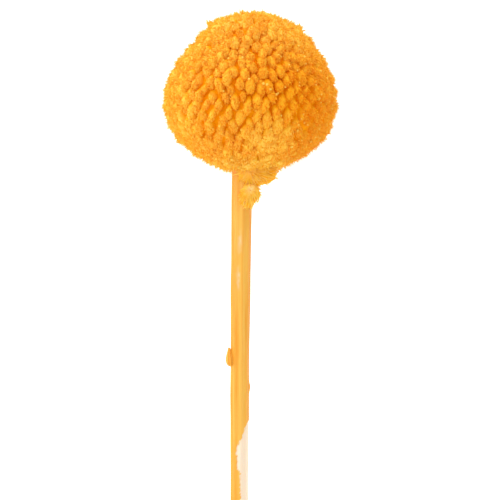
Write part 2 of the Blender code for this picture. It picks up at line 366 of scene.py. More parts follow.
@dataclass(frozen=True)
class HeadForm:
    """The ball of tufts: its outline, and the rule that places the tufts.

    The spans named heights are of the sine of the angle up from the middle of the head.
    """

    radius: float = HEAD_RADIUS
    underside_flatness: float = 0.120
    underside_from: float = 0.30
    underside_to: float = 0.95
    dents: tuple[Bell, ...] = (
        Bell((-0.804, 0.595, 0.0), 0.00190, math.radians(23)),
        Bell((0.866, 0.500, 0.0), 0.00100, math.radians(20)),
        Bell((0.0, 1.0, 0.0), 0.00038, math.radians(38)),
        Bell((0.740, -0.670, 0.0), -0.00035, math.radians(15)),
    )
    lower_crowd: float = 600.0
    upper_crowd: float = 1050.0
    crowd_heights: Span = (-0.10, 0.55)
    ladder_steps: int = 2001
    tuft_length: float = 0.0029
    length_spread: float = 0.00009
    place_spread: float = 0.028
    fan_rise: float = 0.36
    bare_neck_radius: float = 0.0021
    stretch: float = 0.17
    stretch_heights: Span = (-0.75, 0.15)
    elbow_room: float = 1.25
    elbow_rounds: int = 10
    elbow_strength: float = 0.10
    seed: int = 7

    def crowd(self, height: Array) -> Array:
        """How many tufts the whole ball would hold if they stood as they do at a height."""
        upper = smooth_step(*self.crowd_heights, height)
        return self.lower_crowd + (self.upper_crowd - self.lower_crowd) * upper

    def stretched(self, height: Array) -> Array:
        """How much further apart tufts stand along the fan than across it: most on the lower half."""
        return 1 + self.stretch * smooth_step(*self.stretch_heights, -height)

    def settled(self, directions: Array) -> Array:
        """Lets the tufts elbow each other apart, in a metric that is stretched along the fan.

        In each round a tuft moves away from every neighbour that is nearer than its room, by a
        share of what is lacking. The room is the spacing of a hexagonal grid with the same crowd.

        Args:
            directions: Unit vectors.

        Returns:
            The moved unit vectors.
        """
        for _ in range(self.elbow_rounds):
            height = directions[:, 1]
            room = self.elbow_room * np.sqrt(8 * math.pi / math.sqrt(3) / self.crowd(height))[:, None]
            sideways, upwards = round_and_up(directions)
            longer = self.stretched(height)[:, None]
            apart = directions[:, None] - directions[None]
            across = np.einsum("ijk,ik->ij", apart, sideways) * longer
            along = np.einsum("ijk,ik->ij", apart, upwards) / longer
            distance = np.hypot(across, along)
            distance[(distance == 0) | (directions @ directions.T < 0)] = math.inf
            push = self.elbow_strength * np.maximum(1 - distance / room, 0) * room / distance
            directions = unit(
                directions
                + (push * across).sum(axis=1)[:, None] * sideways
                + (push * along).sum(axis=1)[:, None] * upwards
            )
        return directions

    def directions(self) -> Array:
        """A golden spiral of unit vectors, crowded towards the crown and shaken a little.

        The heights are those at which the crowd, summed up from the underside, passes each half
        number. On a ball, equal steps of height have equal areas.

        Returns:
            Unit vectors, one for each tuft.
        """
        ladder = np.linspace(-1, 1, self.ladder_steps)
        summed = np.cumsum(self.crowd(ladder)) * (ladder[1] - ladder[0]) / 2
        order = np.arange(int(summed[-1]))
        height = np.interp(order + 0.5, summed, ladder)
        ring = np.sqrt(1 - height**2)
        turn = order * GOLDEN_ANGLE
        spiral = np.column_stack((ring * np.cos(turn), height, ring * np.sin(turn)))
        random = np.random.default_rng(self.seed)
        return self.settled(unit(spiral + random.normal(0, self.place_spread, spiral.shape)))

    def tip_radius(self, directions: Array) -> Array:
        """The head's radius at the tips: a ball, flatter below, less a bell curve for each dent.

        Args:
            directions: Unit vectors.

        Returns:
            The radius in each direction.
        """
        below = smooth_step(self.underside_from, self.underside_to, -directions[:, 1])
        dented = sum(dent.over(directions) for dent in self.dents)
        return self.radius * (1 - self.underside_flatness * below) - dented

    def fanned_out(self, roots: Array, tip_radius: Array) -> Array:
        """Where lines from the fan's source through the roots come out at the tips' radius.

        Args:
            roots: Points on the inner ball.
            tip_radius: The radius to reach in each root's direction.

        Returns:
            The end of each line: the root plus the lean times the rise by the lean's slope.
        """
        lean = unit(roots - CROWN * self.fan_rise * self.radius)
        length = np.linalg.norm(roots, axis=1)
        slope = (lean * roots).sum(axis=1) / length
        return roots + lean * ((tip_radius - length) / slope)[:, None]

    def at_surface(self, points: Array, above: Array) -> Array:
        """Points moved along their own directions to stand by a height above the surface."""
        directions = unit(points)
        return directions * (self.tip_radius(directions) + above)[:, None]


@dataclass(frozen=True)
class Stalk:
    """The stem's middle line and thickness, a little to the left of the head's middle."""

    reach: float = STEM_REACH
    top: float = 0.0069
    neck: float = 0.0119
    radius_at_neck: float = 0.00162
    radius_at_cut: float = 0.00138
    side: float = -0.00128
    bow: float = -0.00040
    ribs: int = 9
    rib_share: float = 0.035

    def along(self, distance: Array) -> Array:
        """0 at the neck and 1 at the cut end."""
        return np.maximum((distance - self.neck) / (self.reach - self.neck), 0)

    def sideways(self, distance: Array) -> Array:
        """Where the middle line is to the side: half a sine wave of bow."""
        return self.side + self.bow * np.sin(math.pi * self.along(distance))

    def radius(self, distance: Array) -> Array:
        """The radius falls off from the neck with the square of what is left to the cut end."""
        spare = self.radius_at_neck - self.radius_at_cut
        return self.radius_at_cut + spare * (1 - self.along(distance)) ** 2


@dataclass
class Tufts:
    """The head's tufts, one to a row.

    The half widths are vectors: one points across the fan of the tufts, the other along it.
    """

    roots: Array
    tips: Array
    facing: Array
    across: Array
    along: Array
    dome: Array
    tone: Array
    pale: Array

    def offset(self, reach: Array, turn: Array) -> Array:
        """Steps away from each tuft's middle, to a share of its half widths at a turn round it."""
        first = (reach * np.cos(turn))[..., None] * self.across[:, None]
        return first + (reach * np.sin(turn))[..., None] * self.along[:, None]

    def on_dome(self, reach: Array, turn: Array) -> Array:
        """Points on the tufts' tops, which fall away with the square of the reach by the dome."""
        drop = (self.dome[:, None] * reach**2)[..., None] * self.facing[:, None]
        return self.tips[:, None] + self.offset(reach, turn) - drop


@dataclass(frozen=True)
class TuftRule:
    """How the tufts of the picture differ from one another and over the head.

    Fill is a tuft's half width by half the distance to its neighbours. Nod is how much more a
    tuft faces along itself than out of the head.
    """

    lower_fill: float = 0.90
    upper_fill: float = 0.93
    fill_heights: Span = (-0.15, 0.40)
    matted_fill: float = 1.25
    dome: float = 0.00050
    nod: float = 2.5
    fluff_depth: float = 0.00026
    matted_flatness: float = 0.6
    neighbours: int = 5
    size_spread: float = 0.16
    length_along: float = 1.14
    length_spread: float = 0.08
    twist: float = 0.30
    tip_shake: float = 0.00010
    depth_shake: float = 0.00013
    sway: float = 0.00022
    sway_waves: int = 24
    sway_length: float = 0.30
    rim_from: float = -0.74
    rim_full: float = -0.93
    matted: Bell = Bell((0.29, -0.52, 0.80), 1.0, math.radians(20))
    # The front, where the colour is deepest; away from it the paleness is a painted rim sheen.
    deep: Bell = Bell((0.50, -0.12, 0.86), 1.0, math.radians(46))
    clefts: tuple[Bell, ...] = (
        Bell((-0.32, -0.18, 0.93), 0.14, math.radians(26)),
        Bell((0.80, -0.28, 0.53), 0.27, math.radians(27)),
    )
    # Shares of paleness: painted rim sheen, the matting's own, and painted top light on the crown.
    painted_rim_sheen: float = 0.65
    matting_fade: float = 0.50
    painted_crown_light: float = 0.25
    crown_heights: Span = (0.2, 0.9)
    seed: int = 21

    def matting(self, directions: Array) -> Array:
        """1 on the matted patch and on the lower rim, 0 elsewhere, with soft edges."""
        rim = smooth_step(-self.rim_from, -self.rim_full, -directions[:, 1])
        return np.clip(rim + self.matted.over(directions), 0, 1)

    def paleness(self, directions: Array, matting: Array) -> Array:
        """A share of the matting, plus painted light: paler on the crown as a painted top light, and
        paler away from the front, where the colour is deepest, as a painted rim sheen.

        Args:
            directions: Unit vectors.
            matting: How matted the head is in each direction.

        Returns:
            The paleness in each direction, from 0 to 1.
        """
        rim_sheen = 1 - self.deep.over(directions)
        crown = smooth_step(*self.crown_heights, directions[:, 1])
        pale = self.matting_fade * matting + self.painted_rim_sheen * rim_sheen + self.painted_crown_light * crown
        return np.clip(pale, 0, 1)

    def placed(
        self, form: HeadForm, stalk: Stalk, random: np.random.Generator
    ) -> tuple[Array, Array, Array, Array]:
        """Stands every tuft that isn't in the stem's way, by the same rule as the solid's.

        Each goes from the inner ball along the fan to the surface, by a random length. Its tip
        is shoved square to itself, at random and by a field that sways neighbours alike.

        Args:
            form: The head's form.
            stalk: The stem, which some tufts would be in the way of.
            random: Draws the lengths and the shoves.

        Returns:
            The tufts' directions, roots and tips, and the ways they face.
        """
        directions = form.directions()
        reaching = form.tip_radius(directions)
        outer = directions * reaching[:, None]
        aside = np.hypot(outer[:, 0] - stalk.side, outer[:, 2])
        kept = (directions[:, 1] > 0) | (aside > form.bare_neck_radius)
        longer = np.random.default_rng(form.seed + 1).normal(0, form.length_spread, len(directions))
        directions, reaching, longer = directions[kept], reaching[kept], longer[kept]
        count = len(directions)
        roots = directions * (reaching - form.tuft_length)[:, None]
        above = longer + random.normal(0, self.depth_shake, count) - self.fluff_depth
        tips = form.at_surface(form.fanned_out(roots, reaching), above)
        facing = unit(unit(tips - roots) * self.nod + directions)
        shove = random.normal(0, self.tip_shake, (count, 3))
        for axis in range(3):
            field = ripple(directions, self.sway_waves, self.sway_length, self.seed + axis)
            shove[:, axis] += self.sway * field
        return directions, roots, tips + np.cross(facing, shove), facing

    def tufts(self, form: HeadForm, stalk: Stalk) -> Tufts:
        """Gives each tuft its widths, dome and colour.

        The half width is half the mean distance to the nearest neighbours times the fill. It is
        shared out so that a tuft is longer along the fan, and turned by a random twist.

        Args:
            form: The head's form.
            stalk: The stem.

        Returns:
            The tufts.
        """
        random = np.random.default_rng(self.seed)
        directions, roots, tips, facing = self.placed(form, stalk, random)
        count = len(directions)
        matting = self.matting(directions)
        gaps = np.linalg.norm(tips[:, None] - tips[None], axis=2)
        nearest = np.sort(gaps, axis=1)[:, 1 : self.neighbours + 1].mean(axis=1)
        upper = smooth_step(*self.fill_heights, directions[:, 1])
        fill = self.lower_fill + (self.upper_fill - self.lower_fill) * upper
        fill = fill + (self.matted_fill - fill) * matting
        fill = fill - sum(cleft.over(directions) for cleft in self.clefts)
        spread = nearest / 2 * fill * (1 + random.normal(0, self.size_spread, count))
        longer = form.stretched(directions[:, 1]) * self.length_along
        longer = longer + random.normal(0, self.length_spread, count)
        sideways, upwards = round_and_up(facing)
        turn = random.normal(0, self.twist, count)[:, None]
        across = (np.cos(turn) * sideways + np.sin(turn) * upwards) * (spread / longer)[:, None]
        along = (np.cos(turn) * upwards - np.sin(turn) * sideways) * (spread * longer)[:, None]
        dome = self.dome * (1 - self.matted_flatness * matting)
        tone = random.uniform(-1, 1, count)
        pale = self.paleness(directions, matting)
        return Tufts(roots, tips, facing, across, along, dome, tone, pale)


@dataclass
class Growth:
    """Where florets or bristles stand, one to a row."""

    roots: Array
    tips: Array
    width: Array
    turn: Array
    bend: Array
    shut: Array
    tone: Array
    pale: Array

    def only(self, chosen: Array) -> "Growth":
        """The rows for which chosen is true."""
        return Growth(*(getattr(self, name)[chosen] for name in self.__dataclass_fields__))


@dataclass(frozen=True)
class FloretForm:
    """One dried floret: a slim tube that widens into a five-lobed mouth or a shut bud."""

    sides: int = 5
    heights: tuple[float, ...] = (0.0, 0.75)
    radii: tuple[float, ...] = (0.70, 0.98)
    lobe_radius: float = 0.78
    notch_radius: float = 0.66
    lobe_height: float = 0.93
    notch_height: float = 0.90
    bud_height: float = 1.04
    mouth_depth: float = 0.06

    def points(self) -> tuple[Array, Array, Array]:
        """The floret's points as height and radius along it, and turn round it.

        Returns:
            Arrays of height, radius and turn. The mouth's middle comes last.
        """
        edge = even_turns(2 * self.sides)
        lobes = np.arange(2 * self.sides) % 2 == 0
        heights = [np.full(self.sides, height) for height in self.heights]
        radii = [np.full(self.sides, radius) for radius in self.radii]
        heights += [np.where(lobes, self.lobe_height, self.notch_height), np.ones(1)]
        radii += [np.where(lobes, self.lobe_radius, self.notch_radius), np.zeros(1)]
        turns = [even_turns(self.sides)] * len(self.heights) + [edge, np.zeros(1)]
        return np.concatenate(heights), np.concatenate(radii), np.concatenate(turns)

    def triangles(self) -> Array:
        """Bands between the rings, three faces a side up to the lobes, and a fan at each end.

        Returns:
            Rows of three point numbers, turned so that the faces point outwards.
        """
        sides = self.sides
        side = np.arange(sides)
        after = (side + 1) % sides
        band = (np.arange(len(self.heights) - 1) * sides)[:, None]
        low, low_after = (band + side).ravel(), (band + after).ravel()
        neck = (len(self.heights) - 1) * sides
        rim = neck + sides
        lobe, notch, following = rim + 2 * side, rim + 2 * side + 1, rim + 2 * after
        middle = np.full(sides, rim + 2 * sides)
        foot = side[1:-1]
        return np.concatenate(
            (
                np.column_stack((low, low_after, low_after + sides)),
                np.column_stack((low, low_after + sides, low + sides)),
                np.column_stack((neck + side, notch, lobe)),
                np.column_stack((neck + side, neck + after, notch)),
                np.column_stack((neck + after, following, notch)),
                np.column_stack((lobe, notch, middle)),
                np.column_stack((notch, following, middle)),
                np.column_stack((np.zeros(sides - 2, dtype=int), foot + 1, foot)),
            )
        )

    def grown(self, growth: Growth) -> Skin:
        """A floret on every place: its points times the width, along the axis, bent by the bend.

        The bend is a parabola along the axis that is full at the middle and nothing at the ends.

        Args:
            growth: Where each floret stands.

        Returns:
            All the florets as one skin.
        """
        height, radius, turn = self.points()
        heights = np.tile(height, (len(growth.roots), 1))
        heights[:, -1] += np.where(growth.shut, self.bud_height - 1, -self.mouth_depth)
        line = growth.tips - growth.roots
        first, second = square_to(unit(line))
        across = radius * growth.width[:, None]
        turns = turn + growth.turn[:, None]
        points = (
            growth.roots[:, None]
            + heights[..., None] * line[:, None]
            + (heights * (1 - heights) * 4)[..., None] * growth.bend[:, None]
            + (across * np.cos(turns))[..., None] * first[:, None]
            + (across * np.sin(turns))[..., None] * second[:, None]
        )
        reach = np.clip(heights, 0, 1)
        return Skin.of_copies(
            points, self.triangles(), reach, growth.tone[:, None], growth.pale[:, None]
        )


@dataclass(frozen=True)
class BristleForm:
    """A bristle of the seed fluff: a slim spike with three sides."""

    sides: int = 3
    foot_reach: float = 0.5

    def grown(self, growth: Growth) -> Skin:
        """A spike on every place: a three-cornered foot as wide as the width, and a point.

        Args:
            growth: Where each bristle stands.

        Returns:
            All the bristles as one skin.
        """
        turns = even_turns(self.sides) + growth.turn[:, None]
        first, second = square_to(unit(growth.tips - growth.roots))
        across = np.cos(turns)[..., None] * first[:, None] + np.sin(turns)[..., None] * second[:, None]
        feet = growth.roots[:, None] + growth.width[:, None, None] * across
        points = np.concatenate((feet, growth.tips[:, None]), axis=1)
        faces = np.array(((0, 2, 1), (0, 1, 3), (1, 2, 3), (2, 0, 3)))
        reach = np.array((*[self.foot_reach] * self.sides, 1.0))
        tone, pale = growth.tone[:, None], growth.pale[:, None]
        return Skin.of_copies(points, faces, reach, tone, pale, smooth=False)


@dataclass(frozen=True)
class ClubForm:
    """The body of a tuft under its florets: a lobed club with a domed top."""

    sides: int = 12
    lobes: tuple[int, ...] = (2, 3, 5)
    lobe_share: float = 0.05
    side_heights: tuple[float, ...] = (0.0, 0.55, 0.78, 0.92)
    side_reaches: tuple[float, ...] = (1.05, 1.18, 1.11, 1.00)
    top_reaches: tuple[float, ...] = (0.86, 0.66, 0.36)
    # Reach at each ring, which the finish reads: the side goes deeper towards the root, a painted shade
    # between the tufts.
    side_brightness: tuple[float, ...] = (0.0, 0.20, 0.40, 0.68)
    top_brightness: tuple[float, ...] = (0.80, 0.92, 1.0)
    depth: float = 0.00007
    seed: int = 91

    def grown(self, tufts: Tufts) -> Skin:
        """A club under every tuft: rings up its side, then rings that close over its dome.

        The side's rings go from the root to the dome's rim along straight lines. The rings' reach
        is 1 plus a share of cosines of a few times the turn, each from a random start.

        Args:
            tufts: Where the tufts stand.

        Returns:
            All the clubs as one skin.
        """
        count = len(tufts.roots)
        turn = np.broadcast_to(even_turns(self.sides), (count, self.sides))
        starts = np.random.default_rng(self.seed).uniform(0, FULL_TURN, (count, len(self.lobes), 1))
        waves = np.cos(np.array(self.lobes)[:, None] * turn[:, None] + starts)
        lobed = 1 + self.lobe_share * waves.sum(axis=1)
        sunk = (self.depth * tufts.facing)[:, None]
        rings = []
        for height, share in zip(self.side_heights, self.side_reaches):
            rim = tufts.on_dome(lobed * share, turn) - sunk
            foot = tufts.roots[:, None] + tufts.offset(lobed * share, turn)
            rings.append(foot + height * (rim - foot))
        for share in self.top_reaches:
            rings.append(tufts.on_dome(lobed * share, turn) - sunk)
        rings.append(tufts.roots[:, None])
        rings.append(tufts.tips[:, None] - sunk)
        bright = (*self.side_brightness, *self.top_brightness)
        reach = np.concatenate((np.repeat(bright, self.sides), (0.0, self.top_brightness[-1])))
        faces = tube_triangles(len(bright), self.sides)
        points = np.concatenate(rings, axis=1)
        return Skin.of_copies(points, faces, reach, tufts.tone[:, None], tufts.pale[:, None])


class Recipe:
    """A material's nodes, added and linked one by one.

    A mix node has sockets for numbers, vectors and colours, so those for colours are named by
    their places.
    """

    MIX_INPUTS = (0, 6, 7)
    MIX_OUTPUT = 2

    def __init__(self, name: str) -> None:
        """Starts a material with a Principled shader.

        Args:
            name: The material's name.
        """
        self.material = bpy.data.materials.new(name)
        self.material.use_nodes = True
        self.tree = self.material.node_tree
        self.shader = self.tree.nodes["Principled BSDF"]

    def feed(self, target: Socket, source: Socket | float | tuple) -> None:
        """Links an output to an input, or sets the input to a number or a colour.

        Args:
            target: The input.
            source: The output, number or colour.
        """
        if isinstance(source, Socket):
            self.tree.links.new(source, target)
        else:
            target.default_value = source

    def feed_all(self, node: bpy.types.Node, **inputs: Socket | float | tuple) -> bpy.types.Node:
        """Feeds some of a node's inputs. Underscores in their names stand for spaces.

        Args:
            node: The node.
            inputs: What each input gets.

        Returns:
            The same node.
        """
        for name, source in inputs.items():
            self.feed(node.inputs[name.replace("_", " ")], source)
        return node

    def add(self, kind: str, **inputs: Socket | float | tuple) -> bpy.types.Node:
        """Adds a node of a kind and feeds its inputs."""
        return self.feed_all(self.tree.nodes.new(kind), **inputs)

    def quality(self, quality: Quality) -> Socket:
        """The value of a quality at the shaded point.

        Args:
            quality: Which quality.

        Returns:
            The value.
        """
        node = self.tree.nodes.new("ShaderNodeAttribute")
        node.attribute_name = quality.value
        return node.outputs["Fac"]

    def worked_out(self, operation: Operation, first: Socket, second: Socket | float) -> Socket:
        """The result of an operation on two numbers.

        Args:
            operation: What is done.
            first: The first number.
            second: The second number.

        Returns:
            The result.
        """
        node = self.tree.nodes.new("ShaderNodeMath")
        node.operation = operation.value
        self.feed(node.inputs[0], first)
        self.feed(node.inputs[1], second)
        return node.outputs[0]

    def mixed(self, share: Socket, low: Colour | Socket, high: Colour | Socket) -> Socket:
        """A colour that goes from low to high as the share goes from 0 to 1.

        Args:
            share: How much of the high colour is in the mix.
            low: The first colour.
            high: The second colour.

        Returns:
            The mixed colour.
        """
        node = self.tree.nodes.new("ShaderNodeMix")
        node.data_type = "RGBA"
        node.clamp_factor = True
        for number, source in zip(self.MIX_INPUTS, (share, low, high)):
            self.feed(node.inputs[number], source)
        return node.outputs[self.MIX_OUTPUT]

    def spread_out(self, value: Socket, low: float, high: float) -> Socket:
        """A value from low to high mapped to 0 to 1."""
        return self.add("ShaderNodeMapRange", Value=value, From_Min=low, From_Max=high).outputs["Result"]

    def noise(
        self, scale: float, detail: float, stretch: Place = (1, 1, 1), tilt: float = 0.0
    ) -> Socket:
        """Noise on Object coordinates, turned about the side axis by tilt and then stretched.

        Args:
            scale: Features per metre.
            detail: Octaves of finer noise.
            stretch: Scale along each axis.
            tilt: Turn about the side axis, in radians.

        Returns:
            The noise's value, about 0 to 1.
        """
        place = self.tree.nodes.new("ShaderNodeTexCoord").outputs["Object"]
        turned = self.tree.nodes.new("ShaderNodeMapping")
        turned.vector_type = "TEXTURE"
        turned = self.feed_all(turned, Vector=place, Rotation=(tilt, 0, 0)).outputs["Vector"]
        stretched = self.add("ShaderNodeMapping", Vector=turned, Scale=stretch).outputs["Vector"]
        noise = self.add("ShaderNodeTexNoise", Vector=stretched, Scale=scale, Detail=detail)
        return noise.outputs["Fac"]

    def bump(self, height: Socket, strength: float, distance: float) -> None:
        """Raises the surface's look by a height."""
        node = self.add("ShaderNodeBump", Height=height, Strength=strength, Distance=distance)
        self.feed(self.shader.inputs["Normal"], node.outputs["Normal"])


@dataclass(frozen=True)
class FloretFinish:
    """Dyed florets: deeper orange towards the root as painted shade, bright at the tip, and paler
    where matted. On the head they are also paler as painted rim sheen, top light and glints.
    """

    name: str
    root: Colour
    # The root's colour where the florets are pale: matted, or on the head paler as painted rim sheen, top
    # light and glints.
    pale_root: Colour
    tip: Colour
    light: Colour
    pale: Colour
    root_reaches: Span = (0.45, 1.0)
    roughness: float = 0.72
    shine: float = 0.05
    mottle_scale: float = 420.0
    mottle_range: Span = (0.3, 0.7)
    mottle_share: float = 0.35
    grain_scale: float = 5200.0
    grain_strength: float = 0.35
    grain_height: float = 0.00008

    def material(self) -> bpy.types.Material:
        """Mixes the tip's colours by tone, paleness and mottle, and the root's into them by reach.

        Returns:
            The material.
        """
        recipe = Recipe(self.name)
        # Reach from root to tip: the deeper root colour is painted shade down between the tufts.
        reach = recipe.spread_out(recipe.quality(Quality.REACH), *self.root_reaches)
        tone = recipe.spread_out(recipe.quality(Quality.TONE), -1.0, 1.0)
        pale = recipe.quality(Quality.PALE)
        mottle = recipe.spread_out(recipe.noise(self.mottle_scale, 3.0), *self.mottle_range)
        mottle = recipe.worked_out(Operation.MULTIPLY, mottle, self.mottle_share)
        bright = recipe.mixed(pale, recipe.mixed(tone, self.tip, self.light), self.pale)
        bright = recipe.mixed(mottle, bright, self.light)
        root = recipe.mixed(pale, self.root, self.pale_root)
        recipe.feed_all(
            recipe.shader,
            Base_Color=recipe.mixed(reach, root, bright),
            Roughness=self.roughness,
            Specular_IOR_Level=self.shine,
        )
        recipe.bump(recipe.noise(self.grain_scale, 2.0), self.grain_strength, self.grain_height)
        return recipe.material


@dataclass(frozen=True)
class StemFinish:
    """Dyed stem: lengthwise streaks, painted shade across it, a bare strip where the dyed skin is off,
    pale pith.
    """

    name: str
    light: Colour
    streak: Colour
    bare: Colour
    pith: Colour
    tilt: float
    streak_scale: float = 1900.0
    streak_stretch: Place = (1, 0.035, 1)
    streak_range: Span = (0.36, 0.68)
    blotch_scale: float = 260.0
    blotch_stretch: Place = (1, 0.25, 1)
    blotch_range: Span = (0.42, 0.7)
    blotch_share: float = 0.3
    roughness: float = 0.55
    shine: float = 0.3
    glow_through: float = 0.15
    glow_radius: Place = (1.0, 0.5, 0.15)
    glow_depth: float = 0.0005
    fibre_strength: float = 0.4
    fibre_height: float = 0.00006

    def material(self) -> bpy.types.Material:
        """Mixes streak and light by noise and by tone, the painted shade across the stem, adds blotches,
        then the bare parts and pith.

        Returns:
            The material.
        """
        recipe = Recipe(self.name)
        streaks = recipe.noise(self.streak_scale, 3.0, self.streak_stretch, self.tilt)
        blotches = recipe.noise(self.blotch_scale, 2.0, self.blotch_stretch, self.tilt)
        # Tone on the stem is painted shade across it, added to the streaks.
        streaks_and_painted_shade = recipe.worked_out(Operation.ADD, streaks, recipe.quality(Quality.TONE))
        colour = recipe.mixed(recipe.spread_out(streaks_and_painted_shade, *self.streak_range), self.streak, self.light)
        blotches = recipe.spread_out(blotches, *self.blotch_range)
        blotches = recipe.worked_out(Operation.MULTIPLY, blotches, self.blotch_share)
        colour = recipe.mixed(blotches, colour, self.light)
        colour = recipe.mixed(recipe.quality(Quality.PALE), colour, self.bare)
        colour = recipe.mixed(recipe.quality(Quality.BARE), colour, self.bare)
        colour = recipe.mixed(recipe.quality(Quality.PITH), colour, self.pith)
        recipe.feed_all(
            recipe.shader,
            Base_Color=colour,
            Roughness=self.roughness,
            Specular_IOR_Level=self.shine,
            Subsurface_Weight=self.glow_through,
            Subsurface_Radius=self.glow_radius,
            Subsurface_Scale=self.glow_depth,
        )
        recipe.bump(streaks, self.fibre_strength, self.fibre_height)
        return recipe.material


@dataclass(frozen=True)
class FloorFinish:
    """Plain pale paper, lit a little from below."""

    name: str
    colour: Colour
    shade: float = 0.985
    shade_scale: float = 14.0
    roughness: float = 0.9
    shine: float = 0.1
    glow: float = 0.6

    def material(self) -> bpy.types.Material:
        """Mixes the colour with a slightly darker one by noise.

        Returns:
            The material.
        """
        recipe = Recipe(self.name)
        darker = tuple(self.shade * value for value in self.colour[:3]) + (1.0,)
        recipe.feed_all(
            recipe.shader,
            Base_Color=recipe.mixed(recipe.noise(self.shade_scale, 2.0), darker, self.colour),
            Roughness=self.roughness,
            Specular_IOR_Level=self.shine,
            Emission_Color=WHITE,
            Emission_Strength=self.glow,
        )
        return recipe.material


def ready(piece: bpy.types.Object, node: str) -> None:
    """Makes a piece ride on the flower's body and stand for its node, whose part it hides.

    Args:
        piece: The piece.
        node: The node that it stands for.
    """
    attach(piece, ROOT_BODY)
    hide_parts(node)
    LOG.info("%s: %d triangles", piece.name, len(piece.data.polygons))


